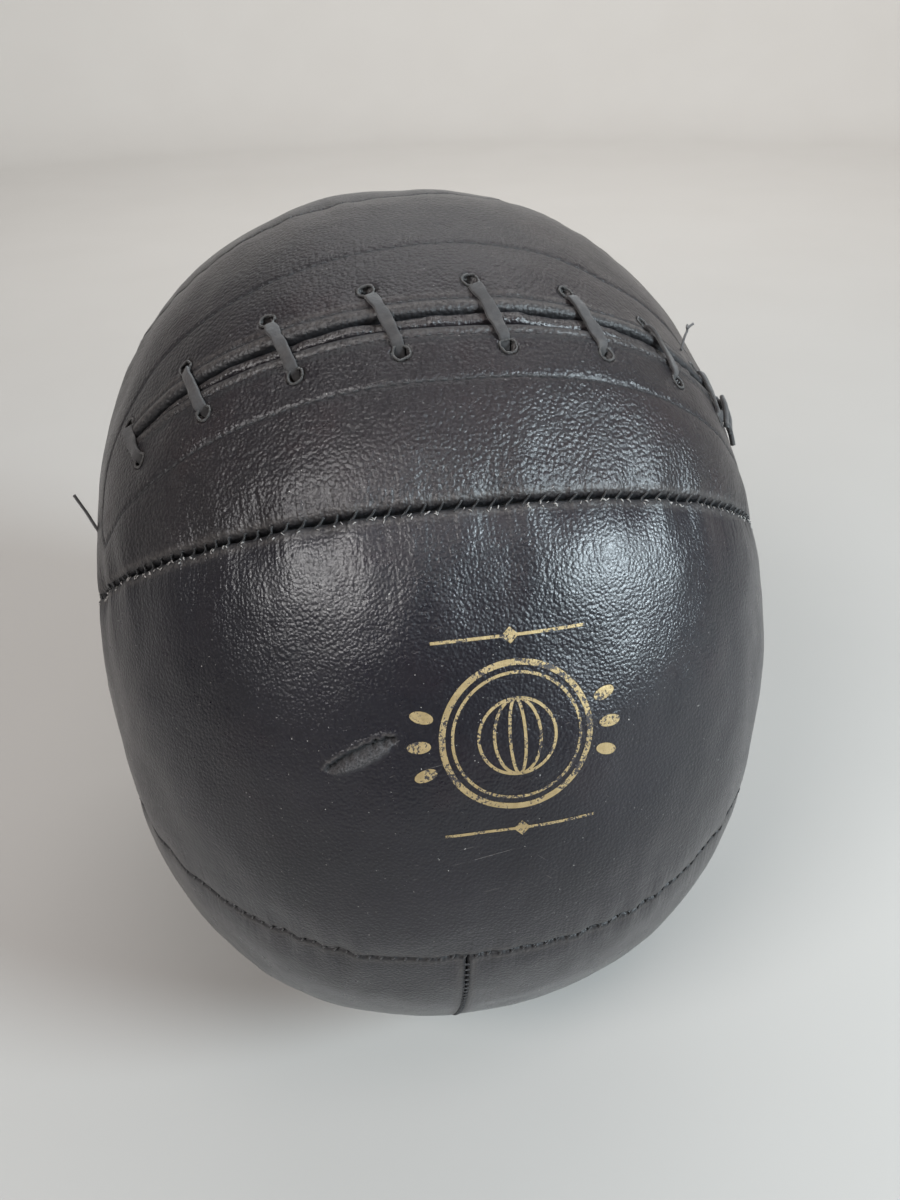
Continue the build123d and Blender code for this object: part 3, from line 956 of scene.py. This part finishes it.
def add_tongue(material):
    """The strip of leather that shows between the lips, rolled down against both."""
    runs = np.linspace(-SLIT_HALF_RUN + 2, SLIT_HALF_RUN - 2, 330)
    half = slit_width(runs) / 2
    near_left = smooth_step(-runs, 70, 98)
    near_right = smooth_step(runs, 86, 98)
    low_gap = 0.75 + 0.3 * near_left + 0.5 * near_right - 0.45 * smooth_step(runs, 10, 45)
    high_gap = 0.7 - 0.6 * smooth_step(runs, -20, 30) + 0.2 * near_left
    low = -np.maximum(half - low_gap, 0.3)
    high = np.maximum(half - high_gap, 0.3)
    share = np.array([0, 0, 0, 0.04, 0.14, 0.3, 0.5, 0.7, 0.86, 0.96, 1, 1, 1])
    depth = np.array([-6.5, -4, -1.8, -0.9, -0.35, -0.05, 0, -0.05, -0.35, -0.9, -1.8, -4, -6.5])
    offset = low[:, None] + (high - low)[:, None] * share
    run = np.repeat(runs[:, None], len(share), axis=1)
    elevation = slit_line(run) + turned(run, offset)
    sag = 0.8 * near_left + 1.4 * near_right + 0.4
    height = 0.25 * ripple(runs, 23, 81) + 0.1 * ripple(runs, 7, 82) - sag
    points = skin(run, elevation, swell(skin(run, elevation)) + height[:, None] + depth)
    middle = points.mean(axis=1, keepdims=True)
    ends = [np.repeat(middle[[i]], len(share), axis=1) for i in (0, -1)]
    points = np.concatenate([ends[0], points, ends[1]])
    masks = {
        # painted shade, darker down the tongue's sides into the slit; its flat top is made paler
        "recess_shade": np.repeat((0.9 - smooth_step(depth, -2.2, -0.2))[None, :], len(points), axis=0),
        "rub": np.repeat((0.55 * smooth_step(depth, -0.4, 0))[None, :], len(points), axis=0),
        "strain": np.full(points.shape[:2], 0.5),
        "run": np.repeat(np.concatenate([runs[:1], runs, runs[-1:]])[:, None], len(share), axis=1),
    }
    add_piece("tongue_strip", [(points, True)], material, ["lace_tongue"], masks)


# === inner layers ===

FACING_DEPTH = 7.0
CLOTH = 1.2
BAG_DEPTH = 9.0
CORE_DEPTH = 12.5
BAG_LIFT = 2.0               # of each layer over the one outside it, where the ball stands


def add_inside(canvas, felt):
    """The facing behind the lacing, the canvas bag and the lumpy stuffing in it."""
    tips = facing_line()
    runs = np.linspace(tips[:, 0].min(), tips[:, 0].max(), 160)[1:-1]
    top = np.array([tips[np.abs(tips[:, 0] - run) < 3][:, 1].max() for run in runs])
    low = np.array([tips[np.abs(tips[:, 0] - run) < 3][:, 1].min() for run in runs])
    share = np.linspace(0, 1, 60)
    elevation = low[:, None] + (top - low)[:, None] * share
    run = np.repeat(runs[:, None], len(share), axis=1)
    base = swell(skin(run, elevation))
    outer = skin(run, elevation, base - FACING_DEPTH)
    inner = skin(run, elevation, base - FACING_DEPTH - CLOTH)
    facing = np.concatenate([outer, inner[:, ::-1]], axis=1)
    add_piece("facing_sheet", [(facing, True)], canvas, ["lace_facing"])

    runs = np.linspace(-POLE_RUN, POLE_RUN, 120)
    angles = np.linspace(0, 360, 120, endpoint=False)
    run = np.repeat(runs[:, None], len(angles), axis=1)
    elevation = np.repeat(angles[None, :], len(runs), axis=0)
    smooth_ball = skin(run, elevation)
    base = swell(smooth_ball)
    bag = on_floor(skin(run, elevation, base - BAG_DEPTH + 0.3 * waves(smooth_ball, 15, 6)))
    bag[..., 2] += BAG_LIFT
    add_piece("canvas_bag", [(bag, True)], canvas, ["canvas_liner"])
    lumps = on_floor(skin(run, elevation, base - CORE_DEPTH + 0.9 * waves(smooth_ball, 20, 7)))
    lumps[..., 2] += 2 * BAG_LIFT
    core = add_piece("felt_stuffing", [(lumps, True)], felt, ["stuffing"])


# === emblem ===

FOIL_LINE = 1.6
RING_STEP = 3.4              # from the outer ring in to the inner one
BALL_SEAMS = (1.0, 0.6, 0.2) # half widths of the small ball's seams, to its radius
LEAF_STEP = 5.0              # from the outer ring out to the middle of a leaf
LEAF_LENGTH = 6.0
LEAF_TURNS = (-0.31, 0, 0.31)
RULE_STEP = 6.0              # from the outer ring out to a rule
HALF_DIAMOND = 2.2


def emblem_stroke(centres, half_widths):
    """A stroke of foil on the front panel, from its line in millimetres and its half widths."""
    along = np.gradient(centres, axis=0)
    along /= np.linalg.norm(along, axis=1, keepdims=True)
    side = np.stack([-along[:, 1], along[:, 0]], axis=1)
    share = np.array([1, 0.33, -0.33, -1])
    flat = centres[:, None, :] + side[:, None, :] * (half_widths[:, None] * share)[:, :, None]
    run = EMBLEM_RUN + flat[..., 0]
    elevation = EMBLEM_ELEVATION + turned(run, flat[..., 1])
    return skin(run, elevation, relief(run, elevation) + 0.07)


def ring_stroke(width_radius, height_radius, line):
    """A stroke round an ellipse."""
    turn = np.linspace(0, 2 * math.pi, 121)
    centres = np.stack([width_radius * np.cos(turn), height_radius * np.sin(turn)], axis=1)
    return emblem_stroke(centres, np.full(121, line / 2))


def leaf_stroke(place, length, width, tilt):
    """A leaf: a short stroke that swells in the middle."""
    share = np.linspace(-1, 1, 25)
    direction = np.array([math.cos(tilt), math.sin(tilt)])
    centres = np.array(place) + share[:, None] * direction * length / 2
    return emblem_stroke(centres, width / 2 * np.sqrt(1 - (share * 0.99) ** 2))


def add_emblem(material):
    """A made-up mark: two rings round a small gored ball, a sprig each side and two rules."""
    radius, line = EMBLEM_RADIUS, FOIL_LINE
    strokes = [
        ring_stroke(radius - line / 2, radius - line / 2, line),
        ring_stroke(radius - RING_STEP, radius - RING_STEP, line / 2),
    ]
    for share in BALL_SEAMS:
        strokes.append(ring_stroke(share * radius / 2, radius / 2, line / 2))
    for side in (-1, 1):
        for turn in LEAF_TURNS:
            reach = radius + LEAF_STEP
            place = (side * reach * math.cos(turn), reach * math.sin(turn))
            strokes.append(leaf_stroke(place, LEAF_LENGTH, 2 * line, side * turn))
        height = side * (radius + RULE_STEP)
        share = np.linspace(-1, 1, 61)
        rule = np.stack([share * radius, np.full(61, height)], axis=1)
        strokes.append(emblem_stroke(rule, np.full(61, line / 4)))
        diamond = np.stack([share * HALF_DIAMOND, np.full(61, height)], axis=1)
        strokes.append(emblem_stroke(diamond, HALF_DIAMOND * (1.001 - np.abs(share))))
    grids = [(stroke[:, ::-1], False) for stroke in strokes]
    add_piece("foil_mark", grids, material, ["foil_emblem"], merge=False)


# === materials ===

class Finish:
    """A material in the making. Places, sizes and depths are in millimetres on the ball."""

    def __init__(self, name):
        self.material = bpy.data.materials.new(name)
        self.material.use_nodes = True
        self.tree = self.material.node_tree
        self.shader = self.tree.nodes["Principled BSDF"]
        self.place = self.stretched()
        self.normal = None

    def node(self, kind, inputs, **settings):
        """A node with its settings, and its inputs linked to sockets or set to values."""
        made = self.tree.nodes.new(kind)
        for key, value in settings.items():
            setattr(made, key, value)
        for key, value in inputs.items():
            if isinstance(value, bpy.types.NodeSocket):
                self.tree.links.new(value, made.inputs[key])
            else:
                made.inputs[key].default_value = value
        return made

    def stretched(self, stretch=(1, 1, 1), turn=(0, 0, 0)):
        """Coordinates on the ball, turned and stretched where a pattern needs it."""
        place = self.tree.nodes.new("ShaderNodeTexCoord").outputs["Object"]
        turned_place = self.node("ShaderNodeMapping", {"Vector": place, "Rotation": turn}).outputs[0]
        scale = [1000 / value for value in stretch]
        return self.node("ShaderNodeMapping", {"Vector": turned_place, "Scale": scale}).outputs[0]

    def calculate(self, operation, first, second):
        return self.node("ShaderNodeMath", {0: first, 1: second}, operation=operation).outputs[0]

    def times(self, first, second):
        return self.calculate("MULTIPLY", first, second)

    def plus(self, first, second):
        return self.calculate("ADD", first, second)

    def noise(self, size, detail, roughness=0.5, place=None):
        """Smooth noise from 0 to 1 with features of a size."""
        inputs = {
            "Vector": place or self.place,
            "Scale": 1 / size,
            "Detail": detail,
            "Roughness": roughness,
        }
        return self.node("ShaderNodeTexNoise", inputs).outputs["Fac"]

    def between(self, value, low, high, to_low=0.0, to_high=1.0):
        """A value mapped from one range to another, and kept in it."""
        inputs = {"Value": value, "From Min": low, "From Max": high, "To Min": to_low, "To Max": to_high}
        return self.node("ShaderNodeMapRange", inputs).outputs[0]

    def blend(self, factor, first, second):
        """A colour between two; each is a colour's numbers or a socket."""
        colors = [
            color if isinstance(color, bpy.types.NodeSocket) else (*color, 1)
            for color in (first, second)
        ]
        inputs = {0: factor, 6: colors[0], 7: colors[1]}
        return self.node("ShaderNodeMix", inputs, data_type="RGBA").outputs[2]

    def mask(self, name):
        """A value that add_piece stored for every point of the mesh."""
        return self.node("ShaderNodeAttribute", {}, attribute_name=name).outputs["Fac"]

    def bump(self, height, depth):
        """A bump of a depth, over the earlier ones."""
        inputs = {"Height": height, "Distance": depth * MM, "Strength": 1.0}
        if self.normal is not None:
            inputs["Normal"] = self.normal
        self.normal = self.node("ShaderNodeBump", inputs).outputs[0]

    def made(self, color, roughness=None):
        """The material, once its colour, roughness and bumps are joined to the shader."""
        results = {"Base Color": color, "Roughness": roughness, "Normal": self.normal}
        for name, socket in results.items():
            if socket is not None:
                self.tree.links.new(socket, self.shader.inputs[name])
        return self.material


def scratch_lines(finish, length, width, turn, amount):
    """Thin straight scratches in one direction."""
    lines = finish.noise(1.0, 1.0, place=finish.stretched((length, width, width), turn))
    return finish.between(lines, 0.78 - amount, 0.80)


def leather_material(name, dark, light, grain, grain_depth, roughness):
    """Old waxed leather: pebbled grain, fine wrinkles by the seams, scratches, rub and dust, and painted
    shade in the grain's pits and in seams, creases, grooves and holes.
    """
    finish = Finish(name)
    recess_shade, rub, strain, torn = [finish.mask(key) for key in ("recess_shade", "rub", "strain", "torn")]
    mottle = finish.noise(5, 4, 0.6)
    nap = finish.noise(0.55, 4, 0.7)
    pebbles = finish.node(
        "ShaderNodeTexVoronoi",
        {"Vector": finish.place, "Scale": 1 / grain, "Smoothness": 0.35},
        feature="SMOOTH_F1",
    ).outputs["Distance"]
    level_scratches = scratch_lines(finish, 40, 0.42, (0, 0.18, 0), 0.015)
    steep_scratches = scratch_lines(finish, 26, 0.36, (0, -0.75, 0), 0.0)
    scratches = finish.calculate("MAXIMUM", level_scratches, steep_scratches)
    broken_rub = finish.times(rub, finish.between(finish.noise(0.9, 3), 0.3, 0.7))

    worn_brown = (light[0] * 1.55, light[1] * 1.0, light[2] * 0.95)
    brown = finish.times(finish.between(finish.noise(26, 2), 0.55, 0.75), 0.45)
    # painted shade in the pits of the pebbled grain
    pit_shade = finish.times(finish.between(pebbles, 0.35, 0.75), 0.55)
    pale = (0.13, 0.115, 0.105)
    dust = finish.times(finish.between(finish.noise(0.7, 1), 0.77, 0.81), 0.7)
    suede = finish.blend(finish.between(nap, 0.35, 0.68), (0.005, 0.004, 0.005), (0.075, 0.070, 0.071))
    color = finish.blend(finish.between(finish.noise(38, 3), 0.35, 0.65), dark, light)
    color = finish.blend(brown, color, worn_brown)
    color = finish.blend(finish.between(mottle, 0.35, 0.75, 0, 0.5), color, dark)
    # painted shade: the grain's pits darkened towards near black
    color = finish.blend(pit_shade, color, (0.006, 0.005, 0.007))
    color = finish.blend(finish.times(broken_rub, 0.6), color, pale)
    color = finish.blend(finish.times(scratches, 0.45), color, pale)
    color = finish.blend(dust, color, (0.42, 0.41, 0.39))
    color = finish.blend(torn, color, suede)
    # painted shade: near black in seams, creases, grooves and holes
    color = finish.blend(finish.times(recess_shade, 0.85), color, (0.004, 0.004, 0.005))

    gloss = finish.between(mottle, 0.3, 0.7, roughness - 0.02, roughness + 0.04)
    for dulling_mask, dulling in ((recess_shade, 0.25), (broken_rub, 0.12), (torn, 0.4)):
        gloss = finish.plus(gloss, finish.times(dulling_mask, dulling))

    along = finish.node("ShaderNodeCombineXYZ", {"X": finish.mask("run")}).outputs[0]
    cross = finish.node(
        "ShaderNodeVectorMath", {0: finish.place, 1: (0.12, 0.12, 0.12)}, operation="MULTIPLY"
    ).outputs[0]
    streaks = finish.node("ShaderNodeVectorMath", {0: along, 1: cross}, operation="ADD").outputs[0]
    finish.bump(finish.noise(9, 3, 0.6), 0.08)
    finish.bump(finish.times(finish.noise(1.5, 2, place=streaks), strain), 0.48)
    finish.bump(finish.noise(grain * 0.4, 3, 0.6), grain_depth * 0.6)
    finish.bump(finish.calculate("SUBTRACT", 1.0, pebbles), grain_depth)
    finish.bump(finish.calculate("SUBTRACT", 1.0, scratches), 0.05)
    finish.bump(finish.times(nap, torn), 0.45)
    finish.shader.inputs["Specular IOR Level"].default_value = 0.5
    finish.shader.inputs["Sheen Weight"].default_value = 0.02
    finish.shader.inputs["Sheen Roughness"].default_value = 0.5
    finish.shader.inputs["Sheen Tint"].default_value = (0.75, 0.80, 0.9, 1)
    return finish.made(color, gloss)


def thread_material(name, dark, light, fluff):
    """Waxed linen thread, twisted, with pale fibres where it has frayed."""
    finish = Finish(name)
    frayed = finish.between(finish.noise(0.8, 2), 0.72 - fluff, 0.78 - fluff)
    color = finish.blend(finish.noise(0.5, 3), dark, light)
    color = finish.blend(finish.times(frayed, 0.8), color, (0.30, 0.29, 0.27))
    twist = finish.node(
        "ShaderNodeTexWave", {"Vector": finish.place, "Scale": 1.3, "Distortion": 1.5},
        bands_direction="DIAGONAL",
    ).outputs["Fac"]
    finish.bump(twist, 0.12)
    finish.shader.inputs["Sheen Weight"].default_value = 0.15
    return finish.made(color, finish.between(frayed, 0, 1, 0.5, 0.85))


def thong_material():
    """Matt, dry leather lace with a nap, pale where it has rubbed."""
    finish = Finish("leather_thong")
    nap = finish.noise(0.45, 4, 0.7)
    worn = finish.between(finish.noise(2.8, 3), 0.52, 0.72)
    color = finish.blend(nap, (0.011, 0.010, 0.011), (0.040, 0.037, 0.037))
    color = finish.blend(finish.times(worn, 0.4), color, (0.075, 0.068, 0.064))
    finish.bump(finish.noise(2.0, 3), 0.25)
    finish.bump(nap, 0.12)
    finish.shader.inputs["Sheen Weight"].default_value = 0.2
    return finish.made(color, finish.between(nap, 0, 1, 0.6, 0.85))


def canvas_material():
    """Plain woven cotton canvas."""
    finish = Finish("cotton_canvas")
    inputs = {"Vector": finish.place, "Scale": 0.5}
    warp = finish.node("ShaderNodeTexWave", inputs, bands_direction="X").outputs["Fac"]
    weft = finish.node("ShaderNodeTexWave", inputs, bands_direction="Z").outputs["Fac"]
    weave = finish.times(warp, weft)
    color = finish.blend(weave, (0.20, 0.17, 0.12), (0.42, 0.37, 0.28))
    finish.bump(weave, 0.3)
    return finish.made(color, finish.between(weave, 0, 1, 0.95, 0.8))


def felt_material():
    """Packed grey felt and rag stuffing."""
    finish = Finish("felt_stuffing")
    fibres = finish.noise(1.2, 5, 0.8)
    color = finish.blend(fibres, (0.09, 0.085, 0.08), (0.30, 0.28, 0.26))
    finish.bump(fibres, 0.6)
    return finish.made(color, finish.between(fibres, 0, 1, 1.0, 0.85))


def foil_material():
    """Gold stamping foil, rubbed through to the leather in flecks."""
    finish = Finish("gold_foil")
    flecks = finish.noise(0.75, 3, 0.7)
    patches = finish.times(finish.noise(7, 2), 0.7)
    left = finish.between(finish.plus(flecks, patches), 0.74, 0.84)
    gold = finish.blend(finish.noise(2.2, 3), (0.25, 0.18, 0.085), (0.47, 0.36, 0.19))
    color = finish.blend(left, (0.022, 0.019, 0.022), gold)
    finish.tree.links.new(finish.times(left, 0.6), finish.shader.inputs["Metallic"])
    finish.bump(finish.noise(0.9, 3), 0.12)
    finish.bump(left, 0.05)
    return finish.made(color, finish.between(flecks, 0.3, 0.7, 0.40, 0.60))


def floor_material():
    """Plain pale paper."""
    finish = Finish("pale_floor")
    finish.shader.inputs["Roughness"].default_value = 0.8
    return finish.made(finish.blend(finish.noise(160, 2), (0.355, 0.340, 0.324), (0.375, 0.362, 0.347)))


def add_floor():
    """The pale floor that the ball rests on, which curves up into a wall all round, far away."""
    radii = np.concatenate([[0.0, 1.0, 1.8], np.linspace(FLOOR_REACH, WALL_REACH, 17)])
    heights = WALL_HEIGHT * smooth_step(radii, FLOOR_REACH - 0.2, WALL_REACH + 0.2) ** 2
    angles = np.linspace(0, 2 * math.pi, 96, endpoint=False)
    points = np.stack([
        radii[:, None] * np.cos(angles),
        radii[:, None] * np.sin(angles),
        np.repeat(heights[:, None], len(angles), axis=1),
    ], axis=-1)
    mesh = bpy.data.meshes.new("floor")
    faces = grid_faces(len(radii), len(angles), closed=True)
    mesh.from_pydata(points.reshape(-1, 3).tolist(), [], faces.tolist())
    mesh.shade_smooth()
    mesh.materials.append(floor_material())
    floor = bpy.data.objects.new("floor", mesh)
    bpy.context.scene.collection.objects.link(floor)


# === build ===

add_camera()
add_floor()
add_lights()

plain_leather = leather_material(
    "plain_leather", (0.0048, 0.0046, 0.0072), (0.0094, 0.0082, 0.0118), 0.88, 0.135, 0.285
)
pebbled_leather = leather_material(
    "pebbled_leather", (0.0068, 0.0052, 0.0066), (0.0134, 0.0098, 0.0114), 1.10, 0.25, 0.29
)
dark_thread = thread_material("dark_thread", (0.003, 0.003, 0.004), (0.012, 0.011, 0.013), -0.05)
hand_thread = thread_material("hand_thread", (0.002, 0.002, 0.003), (0.008, 0.008, 0.009), 0.0)
pale_fibre = thread_material("pale_fibre", (0.20, 0.19, 0.18), (0.45, 0.43, 0.41), 0.0)
worn_edge = thread_material("worn_edge", (0.012, 0.011, 0.011), (0.050, 0.046, 0.043), -0.04)
canvas_cloth = canvas_material()
lace_leather = thong_material()

add_laced_panel(pebbled_leather)
add_gores(plain_leather)
add_end_caps(plain_leather)
add_seam_threads(dark_thread, hand_thread)
add_stitch_fluff(pale_fibre)
add_lacing_stitches(dark_thread)
add_hole_rims(worn_edge)
add_lace(lace_leather)
add_tongue(pebbled_leather)
add_inside(canvas_cloth, felt_material())
add_emblem(foil_material())
